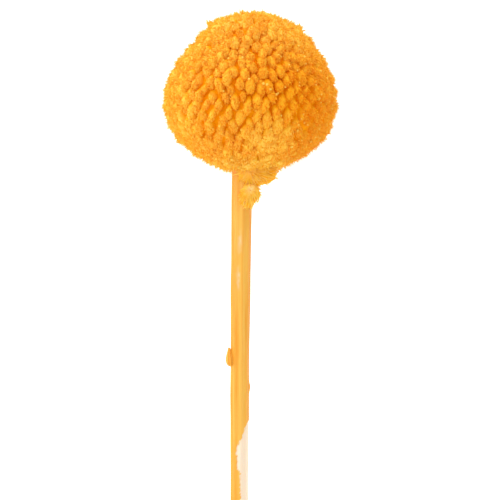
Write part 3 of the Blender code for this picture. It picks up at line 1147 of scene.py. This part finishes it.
@dataclass(frozen=True)
class Head:
    """The globe: a ball that the florets grow from, the florets, and the fluff between them.

    Stands are heights above a tuft's dome. A bristle is on the dome, down the side, or a hair,
    which is longer and thicker.
    """

    form: HeadForm
    rule: TuftRule
    floret: FloretForm
    bristle: BristleForm
    club: ClubForm
    node: str = "flower_head"
    bands: tuple[tuple[str, float, float], ...] = (
        ("crown", 0.52, 1.0),
        ("shoulder", 0.12, 0.52),
        ("belt", -0.30, 0.12),
        ("skirt", -1.0, -0.30),
    )
    florets_on_tuft: int = 11
    floret_height: float = 0.00060
    floret_stand: Span = (-0.00010, 0.00004)
    floret_share: float = 1.08
    floret_fill: float = 0.92
    floret_jitter: Span = (0.2, 0.6)
    floret_lean: float = 0.5
    own_tone: float = 0.4
    width_spread: float = 0.12
    bend: float = 0.00003
    shut_share: float = 0.85
    edge_painted_shade: float = 1.4
    # A few florets stand higher and pale, as painted glints, more of them on the right of the front.
    glint_share: float = 0.01
    glint_patch: Bell = Bell((0.85, -0.15, 0.50), 0.09, math.radians(36))
    glint_stand: float = 0.00022
    core_depth: float = 0.0014
    core_sides: int = 120
    core_rings: int = 60
    core_ripple: float = 0.0002
    core_waves: int = 24
    core_wave_length: float = 0.5
    # The seed bed takes the deeper root colour: painted shade in the gaps between tufts.
    core_reach: float = 0.25
    bristles_on_tuft: int = 100
    side_share: float = 0.35
    side_drop: float = 0.0012
    side_reach: float = 0.97
    side_length: float = 1.5
    bristle_radius: float = 0.000050
    bristle_depth: float = 0.00010
    bristle_stand: Span = (0.00008, 0.00045)
    bristle_widths: Span = (0.6, 1.4)
    bristle_splay: float = 0.35
    bristle_comb: float = 0.70
    bristle_shake: float = 0.12
    hair_share: float = 0.13
    hair_reach: float = 0.7
    hair_radius: float = 0.000090
    hair_stand: Span = (0.00042, 0.00090)
    seed: int = 33

    def floret_growth(self, tufts: Tufts) -> Growth:
        """Where the florets stand: on each tuft a small golden spiral over its dome.

        The spiral's reach grows with the root of the floret's number. A floret leans outwards by
        its reach, and is darker towards the tuft's edge by the square of it, a painted shade where
        the tufts meet. A few florets stand higher and paler, as painted glints.

        Args:
            tufts: Where the tufts stand.

        Returns:
            The florets' places.
        """
        random = np.random.default_rng(self.seed)
        wide, tall = (np.linalg.norm(half, axis=1) for half in (tufts.across, tufts.along))
        order = np.arange(self.florets_on_tuft)
        shape = (len(wide), self.florets_on_tuft)
        reach = np.sqrt((order + random.uniform(*self.floret_jitter, shape)) / self.florets_on_tuft)
        reach = reach * self.floret_share
        turn = order * GOLDEN_ANGLE + random.uniform(0, FULL_TURN, len(wide))[:, None]
        outward = unit(tufts.offset(reach, turn))
        away = unit(tufts.facing[:, None] + self.floret_lean * reach[..., None] * outward)
        stand = random.uniform(*self.floret_stand, shape)
        # Painted glints: a few florets chosen to stand higher and be paler.
        glint_share = self.glint_share + self.glint_patch.over(unit(tufts.tips))[:, None]
        bright = random.uniform(0, 1, shape) < glint_share
        stand = stand + self.glint_stand * bright
        tips = tufts.on_dome(reach, turn) + away * stand[..., None]
        width = self.floret_fill * np.sqrt(wide * tall / self.florets_on_tuft)
        widths = width[:, None] * (1 + random.normal(0, self.width_spread, shape))
        own = self.own_tone * random.uniform(-1, 1, shape)
        # Florets darker towards a tuft's edge: painted shade where the tufts meet.
        tones = (1 - self.own_tone) * tufts.tone[:, None] + own + self.edge_painted_shade * (0.5 - reach**2)
        count = tones.size
        return Growth(
            (tips - away * self.floret_height).reshape(-1, 3),
            tips.reshape(-1, 3),
            widths.ravel(),
            random.uniform(0, FULL_TURN, count),
            random.normal(0, self.bend, (count, 3)),
            random.uniform(0, 1, count) < self.shut_share,
            tones.ravel(),
            # Glinting florets are paler: painted glints.
            np.repeat(tufts.pale, self.florets_on_tuft) + bright.ravel(),
        )

    def bristle_growth(self, tufts: Tufts) -> Growth:
        """Where the bristles stand: at random over each tuft's dome and down its side.

        On the dome the reach is the root of an even draw. On the side it stays at the rim, and
        the drop from the rim is an even draw. Each bristle points along the tuft, outwards by the
        splay times its reach, and up or down the fan by up to the comb.

        Args:
            tufts: Where the tufts stand.

        Returns:
            The bristles' places.
        """
        random = np.random.default_rng(self.seed + 1)
        shape = (len(tufts.roots), self.bristles_on_tuft)
        draw = random.uniform(0, 1, shape)
        on_side = draw < self.side_share
        hair = draw > 1 - self.hair_share
        reach = np.sqrt(random.uniform(0, 1, shape)) * np.where(hair, self.hair_reach, 1.0)
        reach = np.where(on_side, self.side_reach, reach)
        turn = random.uniform(0, FULL_TURN, shape)
        axis = unit(tufts.tips - tufts.roots)[:, None]
        outward = unit(tufts.offset(reach, turn))
        drop = np.where(on_side, draw / self.side_share * self.side_drop, 0.0)
        feet = tufts.on_dome(reach, turn) - drop[..., None] * axis
        feet = feet - self.bristle_depth * (axis + outward * on_side[..., None])
        comb = self.bristle_comb * random.uniform(-1, 1, shape)
        away = axis + outward * (self.bristle_splay * reach)[..., None]
        away = away + comb[..., None] * unit(tufts.along)[:, None]
        away = unit(away + random.normal(0, self.bristle_shake, (*shape, 3)))
        stand = random.uniform(*self.bristle_stand, shape) * np.where(on_side, self.side_length, 1.0)
        stand = np.where(hair, random.uniform(*self.hair_stand, shape), stand)
        length = self.bristle_depth + stand
        radius = np.where(hair, self.hair_radius, self.bristle_radius).ravel()
        count = reach.size
        return Growth(
            feet.reshape(-1, 3),
            (feet + away * length[..., None]).reshape(-1, 3),
            radius * random.uniform(*self.bristle_widths, count),
            random.uniform(0, FULL_TURN, count),
            np.zeros((count, 3)),
            np.ones(count, dtype=bool),
            random.uniform(-1, 1, count),
            np.repeat(tufts.pale, self.bristles_on_tuft),
        )

    def core(self) -> Skin:
        """The ball under the tufts: the tips' radius less a depth, with a gentle ripple.

        Returns:
            The ball's skin.
        """
        rise, turn = ball_angles(self.core_rings, self.core_sides)
        ring = np.sin(rise)
        grid = np.stack((ring * np.cos(turn), -np.cos(rise), -ring * np.sin(turn)), axis=-1)
        directions = np.concatenate((grid.reshape(-1, 3), (-CROWN, CROWN)))
        waves = ripple(directions, self.core_waves, self.core_wave_length, self.seed)
        depth = self.core_depth + self.core_ripple * waves
        points = directions * (self.form.tip_radius(directions) - depth)[:, None]
        faces = tube_triangles(self.core_rings, self.core_sides)
        return Skin.of_copies(points[None], faces, self.core_reach, 0.0, 0.0)

    def build(self, laying: Laying, stalk: Stalk, florets: FloretFinish, fluff: FloretFinish) -> None:
        """Builds the head's pieces: florets and fluff in bands, the clubs and the ball.

        Args:
            laying: How the flower lies.
            stalk: The stem.
            florets: The finish of all but the fluff.
            fluff: The fluff's finish.
        """
        tufts = self.rule.tufts(self.form, stalk)
        petals, hair = florets.material(), fluff.material()
        growths = (
            ("florets", self.floret, self.floret_growth(tufts), petals),
            ("fluff", self.bristle, self.bristle_growth(tufts), hair),
        )
        for kind, form, growth, material in growths:
            height = growth.roots[:, 1] / self.form.radius
            for band, low, high in self.bands:
                part = form.grown(growth.only((height > low) & (height <= high)))
                ready(part.piece(f"{band}_{kind}", laying, material), self.node)
        ready(self.club.grown(tufts).piece("tuft_clubs", laying, petals), self.node)
        ready(self.core().piece("seed_bed", laying, petals), self.node)


@dataclass(frozen=True)
class RayForm:
    """A hair that lies along a surface: a slim tube with three sides that tapers to its ends."""

    sides: int = 3
    thickness: tuple[float, ...] = (0.45, 1.0, 1.0, 0.85, 0.65, 0.40)
    reaches: Span = (0.85, 1.0)
    point_length: float = 3.0

    def grown(self, lines: Array, width: Array, tone: Array, pale: Array) -> Skin:
        """A tube along every line, as wide as its width times the thickness at each point.

        Args:
            lines: The middle lines, with as many points to a line as there are thicknesses.
            width: Each tube's greatest radius.
            tone: Each tube's tone.
            pale: The paleness at each of the lines' points.

        Returns:
            All the tubes as one skin.
        """
        count, stations = lines.shape[:2]
        forward = unit(np.gradient(lines, axis=1))
        first, second = (axis.reshape(lines.shape) for axis in square_to(forward.reshape(-1, 3)))
        turn = even_turns(self.sides)
        around = np.cos(turn)[:, None] * first[:, :, None] + np.sin(turn)[:, None] * second[:, :, None]
        radius = width[:, None] * np.array(self.thickness)
        rings = (lines[:, :, None] + radius[..., None, None] * around).reshape(count, -1, 3)
        ends = lines[:, -1:] + radius[:, -1:, None] * self.point_length * forward[:, -1:]
        points = np.concatenate((rings, lines[:, :1], ends), axis=1)
        reach = np.repeat(np.linspace(*self.reaches, stations), self.sides)
        reach = np.concatenate((reach, self.reaches))
        pale = np.concatenate((np.repeat(pale, self.sides, axis=1), pale[:, :1], pale[:, -1:]), axis=1)
        faces = tube_triangles(stations, self.sides)
        return Skin.of_copies(points, faces, reach, tone[:, None], pale, smooth=False)


@dataclass(frozen=True)
class NeckTuft:
    """A stray cluster on the stem: a soft body, with hairs that fan out over it from a star.

    Long, wide and deep are the body's half axes. A ray's start and share are of the way from the
    star to its end. Rise is how far out of the body it lies, and flare how far its end leaves it.
    """

    node: str
    middle: Place
    long: Place
    wide: Place
    deep: Place
    star: Place
    star_paleness: float
    rays: int
    loose_hairs: int
    rings: int = 40
    sides: int = 72
    body_reach: float = 0.55
    lumpiness: float = 0.09
    lump_waves: int = 20
    lump_length: float = 0.9
    shy_cosine: float = -0.55
    spares: int = 4
    ray_width: float = 0.000090
    ray_widths: Span = (0.6, 1.3)
    ray_start: float = 0.60
    ray_start_power: float = 1.5
    ray_share: Span = (0.25, 0.50)
    ray_least_angle: float = math.radians(70)
    ray_rise: Span = (0.99, 1.12)
    ray_flare: Span = (0.0, 0.45)
    ray_paleness: Span = (0.0, 0.25)
    star_width: float = math.radians(21)
    loose_width: float = 0.000075
    loose_widths: Span = (0.7, 1.3)
    loose_length: Span = (0.00025, 0.00080)
    loose_foot: float = 0.97
    loose_onward: float = 0.05
    loose_scatter: float = 0.25
    loose_bend: float = 0.15
    loose_paleness: Span = (0.0, 0.45)
    splay: float = 0.9
    seed: int = 51

    def surface(self, directions: Array, growth: float | Array = 1.0) -> Array:
        """Points on the body in some directions from its middle.

        A direction times the three half axes gives a point on a ball drawn out three ways. A
        ripple over the directions makes it lumpy, and the growth moves it out from the middle.

        Args:
            directions: Unit vectors along their last dimension.
            growth: What the distance from the middle is multiplied by.

        Returns:
            As many points as there are directions.
        """
        lumps = ripple(directions.reshape(-1, 3), self.lump_waves, self.lump_length, self.seed + 2)
        reach = growth * (1 + self.lumpiness * lumps).reshape(directions.shape[:-1])
        axes = np.array((self.long, self.wide, self.deep))
        return self.middle + reach[..., None] * (directions @ axes)

    def body(self) -> Skin:
        """The closed body on a grid of rise and turn, with a pole at each end of its long axis.

        Returns:
            The body's skin.
        """
        rise, turn = ball_angles(self.rings, self.sides)
        ring = np.sin(rise)
        grid = np.stack((-np.cos(rise), ring * np.cos(turn), ring * np.sin(turn)), axis=-1)
        points = self.surface(np.concatenate((grid.reshape(-1, 3), (-SIDE, SIDE))))
        faces = tube_triangles(self.rings, self.sides)
        return Skin.of_copies(points[None], faces, self.body_reach, 0.0, 0.0)

    def spread(self, count: int, seed: int) -> Array:
        """Directions drawn evenly from a ball, but for those that point away from the star."""
        drawn = unit(np.random.default_rng(seed).normal(size=(count * self.spares, 3)))
        return drawn[drawn @ unit(np.array(self.star)) > self.shy_cosine][:count]

    def ray_skin(self, form: RayForm) -> Skin:
        """Hairs over the body along the shortest ways from the star to ends all over it.

        A way is cut off at both ends at random. The hair rises from the body by its own share and
        flares off it with the fourth power of the way. It is pale by a bell curve round the star.

        Args:
            form: The form of a hair.

        Returns:
            All the hairs as one skin.
        """
        random = np.random.default_rng(self.seed)
        star = unit(np.array(self.star))
        ends = self.spread(self.rays, self.seed + 3)
        start = self.ray_start * random.uniform(0, 1, self.rays) ** self.ray_start_power
        stop = start + random.uniform(*self.ray_share, self.rays)
        way = start[:, None] + (stop - start)[:, None] * np.linspace(0, 1, len(form.thickness))
        angle = np.arccos(np.clip(ends @ star, -1, 1))[:, None]
        further = np.maximum(angle, self.ray_least_angle) / angle
        turned = way * angle * further
        sideways = unit(ends - (ends @ star)[:, None] * star)
        lines = np.cos(turned)[..., None] * star + np.sin(turned)[..., None] * sideways[:, None]
        rise = random.uniform(*self.ray_rise, self.rays)[:, None]
        rise = rise + random.uniform(*self.ray_flare, self.rays)[:, None] * way**4
        glow = self.star_paleness * np.exp(-((turned / self.star_width) ** 2))
        return form.grown(
            self.surface(lines, rise),
            self.ray_width * random.uniform(*self.ray_widths, self.rays),
            random.uniform(-1, 1, self.rays),
            random.uniform(*self.ray_paleness, self.rays)[:, None] + glow,
        )

    def spray_skin(self, form: RayForm) -> Skin:
        """Loose hairs that leave the body, pointing away from the star and outwards.

        A hair goes straight along its direction, and bends by a random step times the square of
        how far along it is.

        Args:
            form: The form of a hair.

        Returns:
            All the loose hairs as one skin.
        """
        random = np.random.default_rng(self.seed + 1)
        count = self.loose_hairs
        directions = self.spread(count, self.seed + 4)
        onward = unit(directions - self.loose_onward * unit(np.array(self.star)))
        feet = self.surface(directions, self.loose_foot)
        away = unit(self.surface(onward, self.loose_foot) - feet)
        away = away + self.splay * unit(feet - self.middle)
        away = unit(away + random.normal(0, self.loose_scatter, (count, 3)))
        length = random.uniform(*self.loose_length, count)[:, None, None]
        way = np.linspace(0, 1, len(form.thickness))[:, None]
        bend = random.normal(0, self.loose_bend, (count, 1, 3))
        lines = feet[:, None] + length * (way * away[:, None] + way**2 * bend)
        width = self.loose_width * random.uniform(*self.loose_widths, count)
        tone = random.uniform(-1, 1, count)
        pale = random.uniform(*self.loose_paleness, count)[:, None]
        return form.grown(lines, width, tone, np.repeat(pale, len(form.thickness), axis=1))

    def build(self, laying: Laying, ray: RayForm, finish: bpy.types.Material) -> None:
        """Builds the tuft as one piece: its body, the hairs over it and the loose hairs.

        Args:
            laying: How the flower lies.
            ray: The form of a hair.
            finish: The material.
        """
        parts = [self.body(), self.ray_skin(ray), self.spray_skin(ray)]
        piece = joined(parts).piece(f"{self.node}_hairs", laying, finish)
        ready(piece, self.node)


@dataclass(frozen=True)
class Grain:
    """A ripple on the stem, over places that have the distance down and a circle round it."""

    stretch: float
    circle: float
    waves: int
    longest: float
    seed: int

    def over(self, distance: Array, turn: Array) -> Array:
        """The ripple over the distance times the stretch, and the turn round the circle.

        Args:
            distance: How far down each point is.
            turn: Each point's turn.

        Returns:
            One number for each point.
        """
        across, out = self.circle * np.cos(turn), self.circle * np.sin(turn)
        places = np.column_stack((distance * self.stretch, across, out))
        return ripple(places, self.waves, self.longest, self.seed)


@dataclass(frozen=True)
class StemSkin:
    """The stem's surface: ribs, fibres, a bare strip, worn spots, a scar, the cut end and painted shade.

    Distances are down from the head's middle, and turns go round the stem from its right side
    over the front. The strip's edge and the painted shade are given at some places and run
    straight between them.
    """

    stalk: Stalk
    sides: int = 84
    stations: int = 420
    cut_slant: float = math.radians(24)
    fine_ribs: int = 31
    fine_rib_share: float = 0.008
    fine_rib_sway: float = 3.0
    fine_rib_turns: float = 180.0
    waver: float = 0.00004
    waver_grain: Grain = Grain(0.3, 0.0016, 40, 0.004, seed=72)
    skin_depth: float = 0.00007
    strip_places: tuple[float, ...] = (
        0.0512, 0.0518, 0.0537, 0.0555, 0.0585, 0.0595, 0.0640, 0.0690, 0.0735,
    )
    strip_turns: tuple[float, ...] = (0, 42, 76, 112, 110, 91, 86, 68, 0)
    strip_back: float = -0.75
    strip_fray: float = math.radians(7)
    fray_grain: Grain = Grain(2.0, 0.003, 30, 0.0016, seed=71)
    # Painted shade across the stem: darker at its edges and lighter on the front, for how light falls on
    # it.
    painted_shade_turns: tuple[float, ...] = (-60, 0, 27, 42, 60, 90, 110, 130, 180)
    painted_shades: tuple[float, ...] = (0.0, -0.22, -0.20, 0.04, 0.14, 0.14, 0.0, -0.12, -0.18)
    spots: tuple[Span, ...] = ((0.0287, 104.0), (0.0231, 97.0))
    spot_size: Span = (math.radians(10), 0.0014)
    spot_paleness: float = 0.38
    speckle: float = 0.8
    speckle_grain: Grain = Grain(0.5, 0.0016, 30, 0.0009, seed=74)
    scar_distance: float = 0.0460
    scar_turn: float = math.radians(-12)
    scar_size: Span = (math.radians(15), 0.0007)
    scar_height: float = 0.00026
    cap_rings: tuple[float, ...] = (0.97, 0.9, 0.7, 0.45, 0.2)
    cap_hollow: float = 0.00006

    def strip_edge(self, distance: Array) -> Array:
        """The turn at which the bare strip ends on the front."""
        return np.interp(distance, self.strip_places, np.radians(self.strip_turns))

    def shade(self, turn: Array) -> Array:
        """Painted shade at a turn: the colour is darker towards both edges of the front, lighter between.
        """
        return np.interp(turn, np.radians(self.painted_shade_turns), self.painted_shades)

    def worn(self, distance: Array, turn: Array) -> Array:
        """The paleness of the spots: a bell curve round each one's middle, times a fine ripple.

        Args:
            distance: How far down each point is.
            turn: Each point's turn.

        Returns:
            0 where the dye is whole, up to the spots' paleness.
        """
        speckle = 1 + self.speckle * self.speckle_grain.over(distance, turn)
        wide, tall = self.spot_size
        total = np.zeros(len(turn))
        for down, round_by in self.spots:
            across = (turn - math.radians(round_by)) / wide
            total = total + np.exp(-(across**2) - ((distance - down) / tall) ** 2)
        return np.clip(self.spot_paleness * speckle * total, 0, 1)

    def bareness(self, distance: Array, turn: Array) -> Array:
        """1 inside the bare strip and 0 outside, with an edge that a ripple frays.

        Args:
            distance: How far down each point is.
            turn: Each point's turn.

        Returns:
            How bare each point is.
        """
        fray = self.strip_fray * self.fray_grain.over(distance, turn)
        edge = self.strip_edge(distance)
        inside = np.minimum(edge + fray - turn, turn - self.strip_back * edge - fray)
        within = (distance > self.strip_places[0]) & (distance < self.strip_places[-1])
        return smooth_step(0, self.strip_fray, inside) * within

    def surface(self, distance: Array, turn: Array, bare: Array) -> Array:
        """Points on the tube round the stalk's middle line.

        The radius is the stalk's, times one plus the ribs' cosines, with a ripple, less the dyed
        skin's depth in the strip, plus a bell curve for the scar.

        Args:
            distance: How far down each point is.
            turn: Each point's turn, from minus half a turn to half a turn.
            bare: How bare each point is.

        Returns:
            One point to a row.
        """
        stalk = self.stalk
        wide, tall = self.scar_size
        scar = ((turn - self.scar_turn) / wide) ** 2 + ((distance - self.scar_distance) / tall) ** 2
        swayed = self.fine_rib_sway * np.sin(distance * self.fine_rib_turns)
        ribs = stalk.rib_share * np.cos(stalk.ribs * turn)
        ribs = ribs + self.fine_rib_share * np.cos(self.fine_ribs * turn + swayed)
        waves = self.waver_grain.over(distance, turn)
        radius = stalk.radius(distance) * (1 + ribs) + self.waver * waves
        radius = radius - self.skin_depth * bare + self.scar_height * np.exp(-scar)
        x = stalk.sideways(distance) + radius * np.cos(turn)
        return np.column_stack((x, -distance, radius * np.sin(turn)))

    def skin(self) -> Skin:
        """A tube on a grid of distance and turn, whose last ring lies in the slanted cut.

        Each turn's distances are stretched so that the grid ends in the cut's plane. The cut end
        is closed by rings that shrink towards its middle.

        Returns:
            The stem's skin.
        """
        stalk = self.stalk
        turn = even_turns(self.sides)
        slope = math.tan(self.cut_slant)
        end = stalk.reach - slope * stalk.radius_at_cut * (1 + np.cos(turn))
        share = np.linspace(0, 1, self.stations)[:, None]
        distance = (stalk.top + share * (end - stalk.top)).ravel()
        turn = np.tile(np.where(turn > math.pi, turn - FULL_TURN, turn), self.stations)
        bare = self.bareness(distance, turn)
        tube = self.surface(distance, turn, bare)
        last = tube[-self.sides :]
        centre = last.mean(axis=0)
        caps = [
            centre + (last - centre) * scale + (0, self.cap_hollow * (1 - scale), 0)
            for scale in self.cap_rings
        ]
        first_pole = (stalk.side, -stalk.top, 0.0)
        last_pole = centre + (0, self.cap_hollow, 0)
        points = np.concatenate((tube, *caps, (first_pole,), (last_pole,)))
        cap_points = len(self.cap_rings) * self.sides
        rest = np.zeros(cap_points + 2)
        pith = np.concatenate((np.zeros(len(tube) + self.sides), np.ones(cap_points - self.sides), (0, 1)))
        return Skin(
            points,
            tube_triangles(self.stations + len(self.cap_rings), self.sides)[:, ::-1],
            {
                Quality.BARE: np.concatenate((bare, rest)),
                Quality.PALE: np.concatenate((self.worn(distance, turn), rest)),
                Quality.PITH: pith,
                # Tone here is the painted shade across the stem.
                Quality.TONE: np.concatenate((self.shade(turn), rest)),
            },
        )

    def build(self, laying: Laying, finish: bpy.types.Material) -> None:
        """Builds the stem."""
        ready(self.skin().piece("stem_skin", laying, finish), "stem")


@dataclass(frozen=True)
class LeafScale:
    """The dried stub of a leaf: a ribbed scale with its back to the stem and a split tip.

    Stand is half its thickness, breadth its width by its thickness, and lean how far its tip
    stands off by its height.
    """

    stalk: Stalk
    distance: float = 0.0415
    turn: float = math.radians(172)
    height: float = 0.0024
    stand: float = 0.00080
    breadth: float = 1.5
    lean: float = 0.10
    pointedness: float = 0.40
    ribs: int = 9
    rib_share: float = 0.07
    split: float = 0.25
    split_heights: Span = (0.75, 1.0)
    split_width: float = 0.4
    tip_height: float = 0.47
    rings: int = 40
    sides: int = 48

    def skin(self) -> Skin:
        """A ball stretched along the stem, narrower to the tip, ribbed lengthwise and leaning out.

        The tip is raised by the square of the distance from its middle, which splits it.

        Returns:
            The scale's skin.
        """
        rise, angle = (angles.ravel() for angles in ball_angles(self.rings, self.sides))
        up = (1 - np.cos(rise)) / 2
        across = np.sin(rise) * np.cos(angle)
        off = np.sin(rise) * np.sin(angle)
        raised = smooth_step(*self.split_heights, up) * (across / self.split_width) ** 2
        narrow = (1 - self.pointedness * up) * (1 + self.rib_share * np.cos(self.ribs * angle))
        local = np.column_stack(
            (
                across * self.stand * self.breadth * narrow,
                self.height * (up - 0.5) + self.split * self.height * raised,
                off * self.stand * narrow + self.lean * self.height * up,
            )
        )
        foot = (0, -self.height / 2, 0)
        tip = (0, self.height * self.tip_height, self.lean * self.height)
        local = np.concatenate((local, (foot, tip)))
        outward = np.array((math.cos(self.turn), 0, math.sin(self.turn)))
        place = np.array((self.stalk.sideways(self.distance), -self.distance, 0))
        place = place + outward * self.stalk.radius(np.array(self.distance))
        points = place + local @ np.array((np.cross(CROWN, outward), CROWN, outward))
        qualities = (Quality.BARE, Quality.PALE, Quality.PITH, Quality.TONE)
        faces = tube_triangles(self.rings, self.sides)[:, ::-1]
        return Skin(points, faces, {quality: np.zeros(len(points)) for quality in qualities})

    def build(self, laying: Laying, finish: bpy.types.Material) -> None:
        """Builds the scale."""
        ready(self.skin().piece("leaf_scale_skin", laying, finish), "leaf_scale")


@dataclass(frozen=True)
class Lamp:
    """A square soft light: its name, its place and its power."""

    name: str
    place: Place
    power: float


@dataclass(frozen=True)
class Studio:
    """A pale floor, soft white light from all round and lamps low at three sides and above."""

    floor_size: float = 6.0
    floor_drop: float = 0.00002
    bounces: int = 12
    sky_strength: float = 0.85
    lamp_size: float = 0.9
    lamps: tuple[Lamp, ...] = (
        Lamp("key", (-0.3, 0.3, 1.1), 2.6),
        Lamp("left_side", (-1.0, 0.15, 0.40), 5.0),
        Lamp("crown_side", (-0.1, 1.0, 0.45), 5.0),
        Lamp("stem_side", (0.1, -1.0, 0.30), 2.0),
    )

    def floor(self, finish: FloorFinish) -> None:
        """A flat sheet just under the flower.

        Args:
            finish: The sheet's finish.
        """
        half = self.floor_size / 2
        corners = np.array(((-half, -half), (half, -half), (half, half), (-half, half)))
        points = np.column_stack((corners, np.full(4, -self.floor_drop)))
        mesh = bpy.data.meshes.new("floor")
        mesh.from_pydata(points.tolist(), [], [(0, 1, 2, 3)])
        mesh.materials.append(finish.material())
        floor = bpy.data.objects.new("floor", mesh)
        bpy.context.scene.collection.objects.link(floor)

    def add_lamp(self, lamp: Lamp) -> None:
        """Adds a lamp that points at the flower.

        Args:
            lamp: The lamp.
        """
        light = bpy.data.lights.new(lamp.name, "AREA")
        light.size = self.lamp_size
        light.energy = lamp.power
        made = bpy.data.objects.new(lamp.name, light)
        made.location = lamp.place
        made.rotation_euler = (-Vector(lamp.place)).to_track_quat("-Z", "Y").to_euler()
        bpy.context.scene.collection.objects.link(made)

    def build(self, finish: FloorFinish) -> None:
        """Sets up the floor, the sky and the lamps.

        Args:
            finish: The floor's finish.
        """
        scene = bpy.context.scene
        world = bpy.data.worlds.new("studio")
        world.use_nodes = True
        sky = world.node_tree.nodes["Background"]
        sky.inputs["Color"].default_value = WHITE
        sky.inputs["Strength"].default_value = self.sky_strength
        scene.world = world
        scene.view_settings.view_transform = "Standard"
        scene.cycles.diffuse_bounces = self.bounces
        self.floor(finish)
        for lamp in self.lamps:
            self.add_lamp(lamp)


@dataclass(frozen=True)
class Camera:
    """Looks down on the flower along its front, as if it stood upright before the camera."""

    view_width: float = 0.0795
    distance: float = 0.221
    below_head: float = 0.0242
    sensor_millimetres: float = 36.0
    nearest: float = 0.001

    def build(self, laying: Laying) -> None:
        """Places the camera square to the stem, with the crown up in the picture.

        Args:
            laying: How the flower lies.
        """
        up, back = laying.turned(np.array((CROWN, FRONT)))
        head = np.array((0.0, laying.middle, laying.head_height))
        data = bpy.data.cameras.new("camera")
        data.sensor_width = self.sensor_millimetres
        data.lens = self.sensor_millimetres * self.distance / self.view_width
        data.clip_start = self.nearest
        camera = bpy.data.objects.new("camera", data)
        camera.location = head - up * self.below_head + back * self.distance
        camera.rotation_euler = Vector(-back).to_track_quat("-Z", "Y").to_euler()
        bpy.context.scene.collection.objects.link(camera)
        bpy.context.scene.camera = camera


NECK_TUFTS = (
    NeckTuft(
        node="neck_tuft_upper",
        middle=(0.00125, -0.01235, 0.0015),
        long=(0.0028, 0.0005, 0.0002),
        wide=(-0.0005, 0.0016, 0.0),
        deep=(0.0, 0.0, 0.00130),
        star=(-0.35, 0.40, 0.85),
        star_paleness=0.2,
        rays=420,
        loose_hairs=320,
    ),
    NeckTuft(
        node="neck_tuft_lower",
        middle=(-0.0001, -0.01565, 0.00145),
        long=(0.00060, 0.00185, 0.0),
        wide=(-0.00130, 0.00030, 0.0),
        deep=(0.0, 0.0, 0.00135),
        star=(0.50, 0.10, 0.86),
        star_paleness=1.0,
        rays=420,
        loose_hairs=200,
        seed=57,
    ),
)
FLORETS = FloretFinish(
    "dyed_florets",
    root=(0.86, 0.33, 0.0005, 1.0),
    pale_root=(0.86, 0.50, 0.006, 1.0),
    tip=(0.84, 0.32, 0.001, 1.0),
    light=(0.93, 0.47, 0.016, 1.0),
    pale=(0.91, 0.61, 0.120, 1.0),
)
FLUFF = FloretFinish(
    "dyed_fluff",
    root=(0.86, 0.33, 0.0005, 1.0),
    pale_root=(0.87, 0.51, 0.008, 1.0),
    tip=(0.88, 0.40, 0.004, 1.0),
    light=(0.92, 0.46, 0.030, 1.0),
    pale=(0.93, 0.64, 0.150, 1.0),
)
STRAY_FLORETS = FloretFinish(
    "stray_florets",
    root=(0.90, 0.40, 0.006, 1.0),
    pale_root=(0.90, 0.46, 0.015, 1.0),
    tip=(0.90, 0.53, 0.022, 1.0),
    light=(0.92, 0.62, 0.060, 1.0),
    pale=(1.0, 0.80, 0.42, 1.0),
)
WHITE_PAPER = FloorFinish("white_paper", (0.92, 0.92, 0.92, 1.0))


def main() -> None:
    """Builds the flower's pieces in order, then the studio and the camera."""
    logging.basicConfig(level=logging.INFO, format="%(message)s")
    laying = Laying()
    stalk = Stalk()
    head = Head(HeadForm(), TuftRule(), FloretForm(), BristleForm(), ClubForm())
    head.build(laying, stalk, FLORETS, FLUFF)
    stray = STRAY_FLORETS.material()
    for tuft in NECK_TUFTS:
        tuft.build(laying, RayForm(), stray)
    bark = StemFinish(
        "dyed_stem",
        light=(0.81, 0.44, 0.065, 1.0),
        streak=(0.74, 0.29, 0.016, 1.0),
        bare=(0.84, 0.68, 0.50, 1.0),
        pith=(0.72, 0.56, 0.36, 1.0),
        tilt=laying.tip,
    ).material()
    StemSkin(stalk).build(laying, bark)
    LeafScale(stalk).build(laying, bark)
    Studio().build(WHITE_PAPER)
    Camera().build(laying)


if __name__ == "__main__":
    main()
